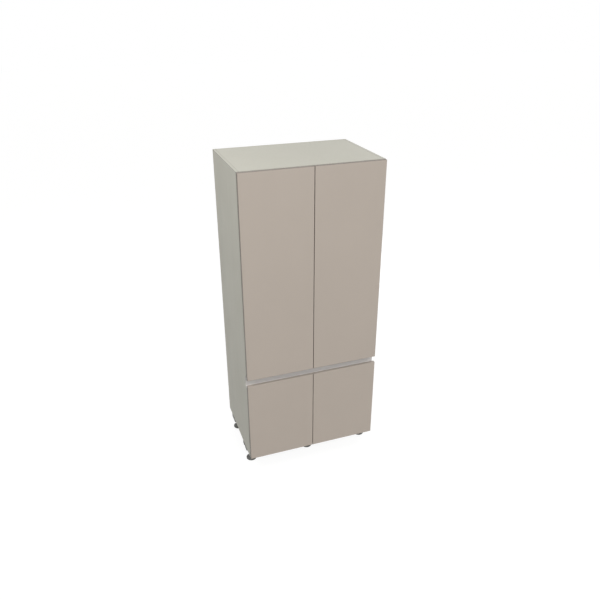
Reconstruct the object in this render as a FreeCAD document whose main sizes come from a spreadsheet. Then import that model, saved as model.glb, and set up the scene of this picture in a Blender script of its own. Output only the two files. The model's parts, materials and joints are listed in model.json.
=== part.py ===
import FreeCAD, Part
import math
import os
import re

import Sketcher

V = FreeCAD.Vector

# A tall two-door-wide kitchen housing on levelling legs. Millimetres, +Z up.
# The origin is on the floor under the middle of the whole unit, doors towards -Y.
# The left side is modelled and the right side is its mirror image.

SIZES = {
    # carcass
    "carcass_width": 900,
    "carcass_depth": 600,
    "carcass_height": 1980,
    "board": 16,
    "back_board": 8,
    "groove_depth": 8,
    "rail_height": 100,
    "wall_bore": 8,
    "wall_bore_inset": 150,
    # doors
    "door_board": 20,
    "door_gap": 2,
    "door_edge": 1,
    "reveal": 1.5,
    "centre_gap": 3,
    "lower_door_height": 592,
    "finger_gap": 44.5,
    # finger channel between the lower and the upper doors
    "channel_height": 84,
    "channel_depth": 26,
    "channel_wall": 1.5,
    "channel_lip": 13.5,
    "channel_bend": 9,
    "channel_play": 0.5,
    "clip_width": 12,
    "clip_wall": 3,
    # loose shelves and their supports
    "upper_shelves": 4,
    "lower_shelves": 1,
    "shelf_setback": 22,
    "shelf_play": 1,
    "support_width": 16,
    "support_height": 14,
    "support_reach": 9,
    "support_inset": 60,
    # concealed hinges: a long and a short link between the arm's nose and the cup
    "hinge_end": 100,
    "tall_hinges": 3,
    "short_hinges": 2,
    "cup_offset": 6.5,
    "cup_bore": 35,
    "cup_depth": 13.5,
    "cup_wall": 1.2,
    "cup_floor": 1,
    "cup_flange": 0.9,
    "cup_wing": 28,
    "cup_wing_reach": 16,
    "cup_post": 1.2,
    "cup_post_width": 5.4,
    "cup_post_inset": 6,
    "pivot_pin": 2,
    "pivot_play": 0.2,
    "open_pivot_play": 0.45,
    "link_eye": 3.8,
    "link_strap": 2,
    "link_plate": 3.2,
    "link_gap": 0.2,
    "nose_plate": 3,
    "nose_strap": 4,
    "nose_root": 14,
    "arm_front": 21,
    "arm_length": 42,
    "arm_width": 13,
    "arm_wall": 1.2,
    "arm_height": 17,
    "arm_tail_height": 8,
    "mount_plate": 3,
    "mount_front": 25,
    "mount_length": 46,
    "mount_setback": 37,
    "mount_wing": 44,
    "mount_wing_depth": 12,
    # bumpers
    "bumper": 9,
    "bumper_height": 1.7,
    "bumper_inset": 60,
    # levelling legs
    "leg_height": 100,
    "leg_inset_side": 35,
    "leg_inset_front": 109,
    "leg_inset_back": 116,
    "leg_flange": 6,
    "leg_flange_tail": 80,
    "leg_flange_corner": 16,
    "socket_width": 46,
    "socket_length": 42,
    "socket_bore": 34,
    "stem_play": 0.4,
    "stem_grip": 36,
    "foot_width": 70,
    "foot_rim": 6,
    "foot_hub": 48,
    "foot_hub_height": 13,
    # flats on small round pieces
    "pivot_sides": 6,
    "pad_sides": 8,
    "leg_sides": 20,
}

doc = FreeCAD.newDocument("tall_housing")
sheet = doc.addObject("Spreadsheet::Sheet", "sizes")
for row, (alias, number) in enumerate(SIZES.items(), start=1):
    sheet.set(f"A{row}", alias)
    sheet.set(f"B{row}", str(number))
    sheet.setAlias(f"B{row}", alias)
doc.recompute()

ALIAS = re.compile(r"\b(" + "|".join(SIZES) + r")\b")
nodes = []


def bound(text):
    """The expression with each size named as its cell."""
    return ALIAS.sub(r"sizes.\1", str(text))


def value(text):
    """The number that an expression gives with the sheet's sizes."""
    return float(doc.sizes.evalExpression(bound(text)))


# places that several pieces share, as expressions in the sheet's sizes
LEFT = "(-carcass_width / 2)"
INNER = f"({LEFT} + board)"
FRONT = "(-(carcass_depth - door_gap - door_board) / 2)"
BACK = f"({FRONT} + carcass_depth)"
BOTTOM = "(leg_height)"
TOP = "(leg_height + carcass_height)"
CLEAR_WIDTH = "(carcass_width - 2 * board)"
BACK_FACE = f"({BACK} - board - back_board)"
DOOR_WIDTH = "((carcass_width - 2 * reveal - centre_gap) / 2)"
LOWER_DOOR = f"({BOTTOM} + reveal)"
UPPER_DOOR = f"({LOWER_DOOR} + lower_door_height + finger_gap)"
UPPER_DOOR_HEIGHT = f"({TOP} - reveal - {UPPER_DOOR})"
CHANNEL = f"({UPPER_DOOR} - finger_gap / 2)"
NOTCH_HEIGHT = "(channel_height + 2 * channel_play)"
NOTCH_DEPTH = "(channel_depth + channel_play)"
SHELF_BOARD = f"({CHANNEL} - board / 2)"

# hinge pivots beside the inner face of the side board and the carcass front: x inward, y back
ARM_LONG = (18.0, 15.0)
ARM_SHORT = (8.5, -1.1)
CUP_LONG = (-5.9, -3.5)
CUP_SHORT = (-5.2, -6.7)
LONG_LINK_BOW = ((-0.8, -4.1), (5.4, -2.6), (12.2, 4.2))
SHORT_LINK_BOW = ((-0.7, -12.8), (5.7, -12.6))


def bind(thing, **properties):
    for name, text in properties.items():
        thing.setExpression(name, bound(text))
    return thing


def place(thing, x=0, y=0, z=0):
    for axis, text in zip("xyz", (x, y, z)):
        thing.setExpression(f"Placement.Base.{axis}", bound(text))
    return thing


def box(name, length, width, height, x, y, z):
    made = bind(doc.addObject("Part::Box", name), Length=length, Width=width, Height=height)
    return place(made, x, y, z)


def cylinder(name, diameter, height, x, y, z, turn=None):
    made = bind(doc.addObject("Part::Cylinder", name), Radius=f"{diameter} / 2", Height=height)
    if turn:
        made.Placement.Rotation = turn
    return place(made, x, y, z)


ALONG_Y = FreeCAD.Rotation(V(1, 0, 0), -90)
UPRIGHT = FreeCAD.Rotation(V(1, 0, 0), 90)


def prism(name, sides, flats, height, x, y, z, turn=None):
    """A bar with the given number of flats, for small round pieces."""
    made = doc.addObject("Part::Prism", name)
    bind(made, Polygon=sides, Circumradius=f"{flats} / 2 / cos(180 deg / {sides})", Height=height)
    if turn:
        made.Placement.Rotation = turn
    return place(made, x, y, z)


def cut(name, base, tool):
    made = doc.addObject("Part::Cut", name)
    made.Base = base
    made.Tool = tool
    return made


def fuse(name, *parts):
    made = doc.addObject("Part::MultiFuse", name)
    made.Shapes = list(parts)
    made.Refine = True
    return made


def group(name, parts):
    made = doc.addObject("Part::Compound", name)
    made.Links = list(parts)
    return made


def mirrored(name, source):
    made = doc.addObject("Part::Mirroring", name)
    made.Source = source
    made.Normal = V(1, 0, 0)
    return made


def copy_of(master, name, x=0, y=0, z=0, turn=None):
    made = doc.addObject("App::Link", name)
    made.setLink(master)
    made.LinkTransform = True
    if turn:
        made.Placement.Rotation = turn
    return place(made, x, y, z)


def node(name, thing):
    """Names a finished sub-part and lists it for writing."""
    thing.Label = name
    nodes.append(thing)
    return thing


def sketch(body, name, plane, lift=0):
    made = body.newObject("Sketcher::SketchObject", name)
    origin = next(f for f in body.Origin.OriginFeatures if f.Role == plane)
    made.AttachmentSupport = [(origin, "")]
    made.MapMode = "FlatFace"
    made.setExpression("AttachmentOffset.Base.z", bound(lift))
    return made


def pin_down(made, element, point, x, y):
    """Holds a point of the sketch at two expressions from the origin."""
    for kind, text in (("DistanceX", x), ("DistanceY", y)):
        index = made.addConstraint(Sketcher.Constraint(kind, -1, 1, element, point, value(text)))
        made.setExpression(f"Constraints[{index}]", bound(text))


def outline(made, corners):
    """A closed outline with every corner held by expressions."""
    first = made.GeometryCount
    points = [V(value(x), value(y), 0) for x, y in corners]
    count = len(points)
    for number, start in enumerate(points):
        made.addGeometry(Part.LineSegment(start, points[(number + 1) % count]))
    for number in range(count):
        following = first + (number + 1) % count
        made.addConstraint(Sketcher.Constraint("Coincident", first + number, 2, following, 1))
    for number, (x, y) in enumerate(corners):
        pin_down(made, first + number, 1, x, y)


def rings(made, centres, diameter):
    """Circles of one diameter at centres given by expressions."""
    for x, y in centres:
        circle = Part.Circle(V(value(x), value(y), 0), V(0, 0, 1), value(diameter) / 2)
        number = made.addGeometry(circle)
        pin_down(made, number, 3, x, y)
        index = made.addConstraint(Sketcher.Constraint("Diameter", number, value(diameter)))
        made.setExpression(f"Constraints[{index}]", bound(diameter))


def pad(body, name, profile, length, midplane=False):
    made = body.newObject("PartDesign::Pad", name)
    made.Profile = profile
    made.Midplane = midplane
    return bind(made, Length=length)


def pocket(body, name, profile, depth, reverse=False):
    """A blind pocket that has to take material away."""
    doc.recompute()
    before = body.Shape.Volume
    made = body.newObject("PartDesign::Pocket", name)
    made.Profile = profile
    made.Reversed = reverse
    bind(made, Length=depth)
    doc.recompute()
    if body.Shape.Volume >= before:
        raise RuntimeError(f"{name} removes nothing")
    return made


def edges_of(body, chosen):
    """The names of the edges that the test picks."""
    doc.recompute()
    shape = body.Tip.Shape
    return (body.Tip, [f"Edge{n}" for n, edge in enumerate(shape.Edges, start=1) if chosen(edge)])


def rounded(body, name, radius, chosen):
    base = edges_of(body, chosen)
    made = body.newObject("PartDesign::Fillet", name)
    made.Base = base
    return bind(made, Radius=radius)


def bevelled(body, name, size, chosen):
    base = edges_of(body, chosen)
    made = body.newObject("PartDesign::Chamfer", name)
    made.Base = base
    return bind(made, Size=size)


# heights of what repeats, as expressions

def spread(first, last, count):
    """Evenly spaced places from first to last."""
    return [f"({first} + ({last} - {first}) * {n} / {count - 1})" for n in range(count)]


def shelf_heights(floor, ceiling, count):
    """Undersides of loose shelves that share a compartment evenly."""
    clear = f"(({ceiling} - {floor} - {count} * board) / {count + 1})"
    return [f"({floor} + {n} * {clear} + {n - 1} * board)" for n in range(1, count + 1)]


UPPER_SHELVES = shelf_heights(f"({SHELF_BOARD} + board)", f"({TOP} - board)", SIZES["upper_shelves"])
LOWER_SHELVES = shelf_heights(f"({BOTTOM} + board)", SHELF_BOARD, SIZES["lower_shelves"])
UPPER_HINGES = spread(
    f"({UPPER_DOOR} + hinge_end)",
    f"({UPPER_DOOR} + {UPPER_DOOR_HEIGHT} - hinge_end)",
    SIZES["tall_hinges"],
)
LOWER_HINGES = spread(
    f"({LOWER_DOOR} + hinge_end)",
    f"({LOWER_DOOR} + lower_door_height - hinge_end)",
    SIZES["short_hinges"],
)
SUPPORT_ROWS = (f"({FRONT} + support_inset)", f"({BACK_FACE} - support_inset - support_width)")


# carcass boards

def side_panel():
    """The left side board, notched for the finger channel and grooved for the back."""
    body = place(doc.addObject("PartDesign::Body", "side_panel"), LEFT, FRONT, BOTTOM)
    notch_low = f"({CHANNEL} - {BOTTOM} - {NOTCH_HEIGHT} / 2)"
    notch_high = f"({CHANNEL} - {BOTTOM} + {NOTCH_HEIGHT} / 2)"
    profile = sketch(body, "side_profile", "YZ_Plane")
    outline(profile, [
        ("0", "0"),
        ("carcass_depth", "0"),
        ("carcass_depth", "carcass_height"),
        ("0", "carcass_height"),
        ("0", notch_high),
        (NOTCH_DEPTH, notch_high),
        (NOTCH_DEPTH, notch_low),
        ("0", notch_low),
    ])
    pad(body, "side_board", profile, "board")
    groove = sketch(body, "side_groove_profile", "YZ_Plane", "board")
    near = "(carcass_depth - board - back_board)"
    far = "(carcass_depth - board)"
    low = "(board - groove_depth)"
    high = "(carcass_height - board + groove_depth)"
    outline(groove, [(near, low), (far, low), (far, high), (near, high)])
    pocket(body, "side_groove", groove, "groove_depth")
    return body


def end_board(name, z, groove_z):
    """The top or bottom board between the sides, grooved for the back."""
    board = box(f"{name}_board", CLEAR_WIDTH, "carcass_depth", "board", INNER, FRONT, z)
    groove = box(f"{name}_groove", CLEAR_WIDTH, "back_board", "groove_depth", INNER, BACK_FACE, groove_z)
    return cut(name, board, groove)


def middle_shelf():
    """The fixed shelf that stands against the back of the finger channel."""
    depth = f"({BACK_FACE} - {FRONT} - channel_depth)"
    return box("middle", CLEAR_WIDTH, depth, "board", INNER, f"{FRONT} + channel_depth", SHELF_BOARD)


def back_panel():
    """The back, held in the grooves, with the two bores for wall screws in its upper rail's line."""
    width = f"({CLEAR_WIDTH} + 2 * groove_depth)"
    height = "(carcass_height - 2 * board + 2 * groove_depth)"
    low = f"({BOTTOM} + board - groove_depth)"
    board = box("back_board_blank", width, "back_board", height, f"({INNER} - groove_depth)", BACK_FACE, low)
    return cut("back", board, wall_bores("back_bores"))


def wall_bores(name):
    """Drills for the wall screws through the upper rail and the back."""
    height = f"({TOP} - board - rail_height / 2)"
    depth = "(board + back_board)"
    sides = ((-1, "left"), (1, "right"))
    return group(name, [
        cylinder(
            f"{name}_{side}", "wall_bore", depth,
            f"({sign} * (carcass_width / 2 - wall_bore_inset))", BACK_FACE, height, ALONG_Y,
        )
        for sign, side in sides
    ])


def rear_rail(name, z):
    """A rail behind the back, flush with the rear edges of the sides."""
    return box(name, CLEAR_WIDTH, "board", "rail_height", INNER, f"({BACK} - board)", z)


def loose_shelf(name, z):
    """A shelf that lies on four supports."""
    depth = f"({BACK_FACE} - {FRONT} - shelf_setback - shelf_play)"
    width = f"({CLEAR_WIDTH} - 2 * shelf_play)"
    return box(name, width, depth, "board", f"({INNER} + shelf_play)", f"({FRONT} + shelf_setback)", z)


def shelf_supports():
    """Wedge-shaped supports on the left side, two under each loose shelf."""
    supports = []
    for number, z in enumerate(LOWER_SHELVES + UPPER_SHELVES):
        for row, y in enumerate(SUPPORT_ROWS):
            wedge = doc.addObject("Part::Wedge", f"support_{number}_{row}")
            wedge.Xmin = wedge.X2min = wedge.Ymin = wedge.Zmin = wedge.Z2min = 0
            bind(
                wedge, Xmax="support_reach / 3", X2max="support_reach", Ymax="support_height",
                Zmax="support_width", Z2max="support_width",
            )
            wedge.Placement.Rotation = UPRIGHT
            supports.append(place(wedge, INNER, f"({y} + support_width)", f"({z} - support_height)"))
    return group("supports", supports)


# finger channel

def finger_channel():
    """An aluminium channel with turned lips, open at both ends, in the notches of the sides."""
    body = place(doc.addObject("PartDesign::Body", "channel"), LEFT, FRONT, CHANNEL)
    half = "(channel_height / 2)"
    lip = f"({half} - channel_lip)"
    inner = f"({half} - channel_wall)"
    back = "(channel_depth - channel_wall)"
    profile = sketch(body, "channel_profile", "YZ_Plane")
    outline(profile, [
        ("0", lip),
        ("0", half),
        ("channel_depth", half),
        ("channel_depth", f"(-{half})"),
        ("0", f"(-{half})"),
        ("0", f"(-{lip})"),
        ("channel_wall", f"(-{lip})"),
        ("channel_wall", f"(-{inner})"),
        (back, f"(-{inner})"),
        (back, inner),
        ("channel_wall", inner),
        ("channel_wall", lip),
    ])
    pad(body, "channel_section", profile, "carcass_width")
    depth = value("channel_depth")
    wall = value("channel_wall")

    def at_back(y):
        def test(edge):
            ends = edge.Vertexes
            return len(ends) == 2 and abs(ends[0].X - ends[1].X) > wall and abs(ends[0].Y - y) < wall / 100
        return test

    rounded(body, "outer_bends", "channel_bend", at_back(depth))
    rounded(body, "inner_bends", "(channel_bend - channel_wall)", at_back(depth - wall))
    return body


def channel_clips():
    """Angle clips above and below the middle shelf that hold the channel to it."""
    leg = f"((channel_height - board) / 2 - channel_bend)"
    places = (INNER, "(-clip_width / 2)", f"(-{INNER} - clip_width)")
    clips = []
    for number, x in enumerate(places):
        for side, sign in (("over", 1), ("under", -1)):
            name = f"clip_{number}_{side}"
            seat = f"({CHANNEL} + {sign} * board / 2)"
            low = seat if sign > 0 else f"({seat} - {leg})"
            inset = f"({seat} + clip_wall)" if sign > 0 else f"({seat} - {leg})"
            front = f"({FRONT} + channel_depth)"
            block = box(f"{name}_block", "clip_width", leg, leg, x, front, low)
            space = box(
                f"{name}_space", "clip_width", leg, f"({leg} - clip_wall)",
                x, f"({front} + clip_wall)", inset,
            )
            clips.append(cut(name, block, space))
    return group("clips", clips)


# doors

def door(name, z, height, hinges):
    """A left door with its front edges eased and round bores for the hinge cups."""
    body = place(doc.addObject("PartDesign::Body", name), f"({LEFT} + reveal)", f"({FRONT} - door_gap)", z)
    profile = sketch(body, f"{name}_profile", "XZ_Plane")
    outline(profile, [("0", "0"), (DOOR_WIDTH, "0"), (DOOR_WIDTH, height), ("0", height)])
    pad(body, f"{name}_board", profile, "door_board")
    front = -value("door_board")

    def on_front(edge):
        return all(abs(end.Y - front) < value("door_edge") / 100 for end in edge.Vertexes)

    bevelled(body, f"{name}_edge", "door_edge", on_front)
    bores = sketch(body, f"{name}_cup_centres", "XZ_Plane")
    rings(bores, [("(board + cup_offset - reveal)", f"({hinge} - {z})") for hinge in hinges], "cup_bore")
    pocket(body, f"{name}_cup_bores", bores, "cup_depth", reverse=True)
    return body


# one concealed hinge, built at the front edge of the side board's inner face

POST = "(nose_plate / 2 + link_plate + 2 * link_gap)"


def hinge_cup():
    """The steel cup with its screw flange and the two posts that carry the link studs."""
    mouth = "(-door_gap)"
    floor = f"({mouth} - cup_depth + cup_floor)"
    shell = cylinder("cup_shell", "cup_bore", "cup_depth", "cup_offset", f"({mouth} - cup_depth)", 0, ALONG_Y)
    wing = box(
        "cup_wing_plate", "(cup_bore / 2 + cup_wing_reach / 4)", "cup_flange", "(2 * cup_wing)",
        "cup_offset", mouth, "(-cup_wing)",
    )
    hollow = cylinder(
        "cup_hollow", "(cup_bore - 2 * cup_wall)", "(cup_depth - cup_floor + 2 * cup_flange)",
        "cup_offset", floor, 0, ALONG_Y,
    )
    pieces = [cut("cup_pressed", fuse("cup_flanged", shell, wing), hollow)]
    left = "(cup_offset - cup_bore / 2 + cup_wall + cup_post_inset - cup_post_width)"
    sides = (
        ("long", CUP_LONG, POST, f"({POST} - link_plate)"),
        ("short", CUP_SHORT, f"(-{POST} - cup_post)", f"(-{POST})"),
    )
    for name, (x, y), post_low, stud_low in sides:
        pieces.append(box(
            f"cup_post_{name}", "cup_post_width", "(cup_depth - cup_floor)", "cup_post",
            left, floor, post_low,
        ))
        pieces.append(prism(f"cup_stud_{name}", "pivot_sides", "pivot_pin", "link_plate", x, y, stud_low))
    return fuse("hinge_cup", *pieces)


def band(points, width):
    """The flat outline of a strap along a bent path, mitred at the bends."""
    corners = [V(x, y, 0) for x, y in points]
    headings = [(after - before).normalize() for before, after in zip(corners, corners[1:])]
    sides = []
    for arriving, corner, leaving in zip([headings[0], *headings], corners, [*headings, headings[-1]]):
        across = V(-arriving.y - leaving.y, arriving.x + leaving.x, 0).normalize()
        half_turn = arriving.getAngle(leaving) / 2
        sides.append((corner, across * (width / 2 / math.cos(half_turn))))
    loop = [corner + offset for corner, offset in sides]
    loop += [corner - offset for corner, offset in reversed(sides)]
    return Part.Face(Part.makePolygon([*loop, loop[0]]))


def round_flat(centre, diameter):
    """A many-sided disc that stays clear of a circle of the diameter inside it."""
    sides = SIZES["pivot_sides"]
    reach = diameter / 2 / math.cos(math.pi / sides)
    turns = [2 * math.pi * n / sides for n in range(sides + 1)]
    points = [V(centre[0] + reach * math.cos(t), centre[1] + reach * math.sin(t), 0) for t in turns]
    return Part.Face(Part.makePolygon(points))


def link(name, arm, bow, cup, low, arm_play, cup_play):
    """A bowed link with an eye at each end: a plate that lies in one layer of the hinge."""
    pin = value("pivot_pin") / math.cos(math.pi / SIZES["pivot_sides"])
    plate = band([cup, *bow, arm], value("link_strap"))
    plate = plate.multiFuse([round_flat(eye, value("link_eye")) for eye in (arm, cup)])
    plate = plate.cut([
        round_flat(arm, pin + 2 * value(arm_play)),
        round_flat(cup, pin + 2 * value(cup_play)),
    ]).removeSplitter()
    made = doc.addObject("Part::Feature", name)
    made.Shape = Part.makeCompound(plate.Faces).extrude(V(0, 0, value("link_plate")))
    made.Placement.Base = V(0, 0, value(low))
    return made


def hinge_arm():
    """The pressed arm with its nose plate, which carries a stud for each link."""
    body = doc.addObject("PartDesign::Body", "arm_channel")
    back = "(arm_front + arm_length)"
    profile = sketch(body, "arm_profile", "XY_Plane")
    shoulder = "(arm_front + arm_length / 3)"
    crown = "(mount_plate + arm_height)"
    tail = "(mount_plate + arm_tail_height)"
    outline(profile, [
        ("mount_plate", "arm_front"),
        (crown, "arm_front"),
        (crown, shoulder),
        (tail, back),
        ("mount_plate", back),
    ])
    pad(body, "arm_block", profile, "arm_width", midplane=True)
    inner = sketch(body, "arm_inner_profile", "XY_Plane")
    outline(inner, [
        ("mount_plate", "arm_front"),
        (f"({crown} - arm_wall)", "arm_front"),
        (f"({crown} - arm_wall)", shoulder),
        (f"({tail} - arm_wall)", back),
        ("mount_plate", back),
    ])
    hollow = pocket(body, "arm_hollow", inner, "(arm_width - 2 * arm_wall)")
    hollow.Midplane = True
    thickness = value("nose_plate")
    root = (ARM_LONG[0], value("arm_front + nose_root"))
    nose = doc.addObject("Part::Feature", "arm_nose")
    plate = band([ARM_SHORT, ARM_LONG, root], value("nose_strap"))
    plate = plate.multiFuse([round_flat(end, value("nose_strap")) for end in (ARM_SHORT, ARM_LONG)])
    nose.Shape = Part.makeCompound(plate.removeSplitter().Faces).extrude(V(0, 0, thickness))
    nose.Placement.Base = V(0, 0, -thickness / 2)
    reach = "(link_plate + link_gap)"
    long_stud = prism("arm_stud_long", "pivot_sides", "pivot_pin", reach, *ARM_LONG, "(nose_plate / 2)")
    short_stud = prism(
        "arm_stud_short", "pivot_sides", "pivot_pin", reach, *ARM_SHORT, f"(-nose_plate / 2 - {reach})",
    )
    return fuse("hinge_arm", body, nose, long_stud, short_stud)


def mounting_plate():
    """The winged plate on the side board that the arm clips over."""
    stem = box("plate_stem", "mount_plate", "mount_length", "arm_width", 0, "mount_front", "(-arm_width / 2)")
    wing = box(
        "plate_wing", "(mount_plate * 2 / 3)", "mount_wing_depth", "mount_wing",
        0, "(mount_setback - mount_wing_depth / 2)", "(-mount_wing / 2)",
    )
    return fuse("mounting_plate", stem, wing)


def along_door(name, master, hinges):
    """One copy of a hinge piece at each hinge of the left doors."""
    return group(name, [
        copy_of(master, f"{name}_{number}", INNER, FRONT, height)
        for number, height in enumerate(hinges)
    ])


# levelling legs

def leg_socket():
    """A socket that screws under the bottom board: an off-centre flange and a tube for the stem."""
    body = doc.addObject("PartDesign::Body", "socket_flange")
    plan = sketch(body, "flange_plan", "XY_Plane", "(-leg_flange)")
    half = "leg_inset_side"
    cut_in = f"({half} - leg_flange_corner)"
    tail = "leg_flange_tail"
    outline(plan, [
        (f"(-{cut_in})", f"(-{half})"),
        (cut_in, f"(-{half})"),
        (half, f"(-{cut_in})"),
        (half, f"({tail} - leg_flange_corner)"),
        (cut_in, tail),
        (f"(-{cut_in})", tail),
        (f"(-{half})", f"({tail} - leg_flange_corner)"),
        (f"(-{half})", f"(-{cut_in})"),
    ])
    pad(body, "flange", plan, "leg_flange")
    length = "(socket_length - leg_flange)"
    tube = prism("tube", "leg_sides", "socket_width", length, 0, 0, "(-socket_length)")
    bore = prism("stem_bore", "leg_sides", "socket_bore", length, 0, 0, "(-socket_length)")
    return cut("leg_socket", fuse("socket_blank", body, tube), bore)


def leg_foot(name, x, y):
    """A levelling foot: a stem that fits the socket on a hub and a broad base."""
    stem = "(socket_bore - 2 * stem_play)"
    height = f"({BOTTOM} - socket_length + stem_grip)"
    return fuse(
        f"{name}_pieces",
        prism(f"{name}_base", "leg_sides", "foot_width", "foot_rim", x, y, 0),
        prism(f"{name}_hub", "leg_sides", "foot_hub", "foot_hub_height", x, y, 0),
        prism(f"{name}_stem", "leg_sides", stem, height, x, y, 0),
    )


def bumpers():
    """Soft pads on the carcass front edges that the left doors close against."""
    x = "(-centre_gap / 2 - bumper_inset)"
    heights = (
        f"({BOTTOM} + board / 2)",
        f"({CHANNEL} - channel_height / 2 + channel_lip / 2)",
        f"({CHANNEL} + channel_height / 2 - channel_lip / 2)",
        f"({TOP} - board / 2)",
    )
    return group("pads", [
        prism(
            f"pad_{number}", "pad_sides", "bumper", "bumper_height",
            x, f"({FRONT} - bumper_height)", z, ALONG_Y,
        )
        for number, z in enumerate(heights)
    ])


def both_sides(name, left):
    """The left piece and its mirror image as one group."""
    return group(name, [left, mirrored(f"{name}_mirror", left)])


LEFT_MOST = f"({LEFT} + leg_inset_side)"
FRONT_ROW = f"({FRONT} + leg_inset_front)"
BACK_ROW = f"({BACK} - leg_inset_back)"
FEET = {
    "front_left": (LEFT_MOST, FRONT_ROW),
    "front_middle": ("0", FRONT_ROW),
    "front_right": (f"(-{LEFT_MOST})", FRONT_ROW),
    "back_left": (LEFT_MOST, BACK_ROW),
    "back_middle": ("0", BACK_ROW),
    "back_right": (f"(-{LEFT_MOST})", BACK_ROW),
}


def build():
    left_side = node("side_panel_left", side_panel())
    node("side_panel_right", mirrored("side_mirror", left_side))
    node("bottom_panel", end_board("bottom", BOTTOM, f"({BOTTOM} + board - groove_depth)"))
    node("top_panel", end_board("top", f"({TOP} - board)", f"({TOP} - board)"))
    node("middle_fixed_shelf", middle_shelf())
    node("back_panel", back_panel())
    upper_rail = rear_rail("upper_rail_blank", f"({TOP} - board - rail_height)")
    node("upper_rear_rail", cut("upper_rail", upper_rail, wall_bores("rail_bores")))
    node("lower_rear_rail", rear_rail("lower_rail", f"({BOTTOM} + board)"))
    for number, z in enumerate(LOWER_SHELVES, start=1):
        node(f"lower_shelf_{number}", loose_shelf(f"lower_loose_{number}", z))
    for number, z in enumerate(UPPER_SHELVES, start=1):
        node(f"upper_shelf_{number}", loose_shelf(f"upper_loose_{number}", z))
    node("shelf_supports", both_sides("all_supports", shelf_supports()))
    node("finger_channel", finger_channel())
    node("channel_clips", channel_clips())
    node("door_bumpers", both_sides("all_pads", bumpers()))

    cup = hinge_cup()
    inner_layer = "(nose_plate / 2 + link_gap)"
    long_link = link(
        "long_link", ARM_LONG, LONG_LINK_BOW, CUP_LONG, inner_layer, "pivot_play", "pivot_play",
    )
    short_link = link(
        "short_link", ARM_SHORT, SHORT_LINK_BOW, CUP_SHORT, f"(-{inner_layer} - link_plate)",
        "pivot_play", "open_pivot_play",
    )
    arm = hinge_arm()
    plate = mounting_plate()
    sets = (
        ("upper", UPPER_DOOR, UPPER_DOOR_HEIGHT, UPPER_HINGES),
        ("lower", LOWER_DOOR, "lower_door_height", LOWER_HINGES),
    )
    for level, z, height, hinges in sets:
        pieces = {
            "door": door(f"{level}_door", z, height, hinges),
            "hinge_cups": along_door(f"{level}_cups", cup, hinges),
            "long_links": along_door(f"{level}_long", long_link, hinges),
            "short_links": along_door(f"{level}_short", short_link, hinges),
        }
        for kind, piece in pieces.items():
            node(f"{level}_left_{kind}", piece)
            node(f"{level}_right_{kind}", mirrored(f"{level}_{kind}_mirror", piece))
    all_hinges = LOWER_HINGES + UPPER_HINGES
    arms = node("left_hinge_arms", along_door("all_arms", arm, all_hinges))
    node("right_hinge_arms", mirrored("arms_mirror", arms))
    plates = node("left_mounting_plates", along_door("all_plates", plate, all_hinges))
    node("right_mounting_plates", mirrored("plates_mirror", plates))

    socket = leg_socket()
    half_turn = FreeCAD.Rotation(V(0, 0, 1), 180)
    node("leg_sockets", group("sockets", [
        copy_of(socket, f"socket_{name}", x, y, BOTTOM, half_turn if y == BACK_ROW else None)
        for name, (x, y) in FEET.items()
    ]))
    for name, (x, y) in FEET.items():
        node(f"foot_{name}", leg_foot(f"foot_{name}", x, y))


def write():
    """Checks every object and sub-part, then writes one file for each sub-part."""
    doc.recompute()
    for thing in doc.Objects:
        if {"Invalid", "Error"} & set(thing.State):
            raise RuntimeError(f"{thing.Name} did not compute")
    for piece in nodes:
        if piece.Shape.isNull() or not piece.Shape.isValid():
            raise RuntimeError(f"{piece.Label} is not a valid solid")
    os.makedirs("parts", exist_ok=True)
    for piece in nodes:
        piece.Shape.exportStep(f"parts/{piece.Label}.step")
        print(piece.Label, len(piece.Shape.Solids))


build()
write()
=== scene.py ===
"""A tall kitchen housing on levelling legs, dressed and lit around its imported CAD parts."""
import json
import math

import bpy
from mathutils import Matrix, Vector


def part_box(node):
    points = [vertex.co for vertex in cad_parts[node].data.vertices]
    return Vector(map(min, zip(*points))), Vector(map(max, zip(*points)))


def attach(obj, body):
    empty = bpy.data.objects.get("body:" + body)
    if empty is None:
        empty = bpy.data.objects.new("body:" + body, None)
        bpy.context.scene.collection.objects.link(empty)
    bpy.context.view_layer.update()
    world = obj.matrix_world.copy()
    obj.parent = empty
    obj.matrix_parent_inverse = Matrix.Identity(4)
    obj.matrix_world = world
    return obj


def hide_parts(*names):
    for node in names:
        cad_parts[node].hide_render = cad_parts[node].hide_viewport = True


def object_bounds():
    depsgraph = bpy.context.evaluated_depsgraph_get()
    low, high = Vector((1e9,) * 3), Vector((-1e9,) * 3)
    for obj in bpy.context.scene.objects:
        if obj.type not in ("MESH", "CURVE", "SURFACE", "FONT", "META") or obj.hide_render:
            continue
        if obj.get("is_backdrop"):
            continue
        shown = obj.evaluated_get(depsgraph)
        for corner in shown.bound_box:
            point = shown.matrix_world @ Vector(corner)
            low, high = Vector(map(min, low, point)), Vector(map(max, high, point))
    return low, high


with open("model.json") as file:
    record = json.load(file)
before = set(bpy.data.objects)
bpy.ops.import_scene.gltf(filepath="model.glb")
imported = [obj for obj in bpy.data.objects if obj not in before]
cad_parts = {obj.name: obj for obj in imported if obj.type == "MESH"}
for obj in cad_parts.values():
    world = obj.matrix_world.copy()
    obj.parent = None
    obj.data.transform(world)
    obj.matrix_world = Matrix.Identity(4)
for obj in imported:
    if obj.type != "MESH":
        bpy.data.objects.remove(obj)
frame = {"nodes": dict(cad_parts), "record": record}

bl_info = {
    "name": "Tall kitchen housing",
    "version": (1, 0, 0),
    "blender": (4, 5, 0),
    "location": "3D View > Sidebar > Housing",
    "description": "Dresses a tall kitchen housing and sets up its picture",
    "category": "Object",
}

CAD_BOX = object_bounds()


# colours and sizes that a user would change

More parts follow.
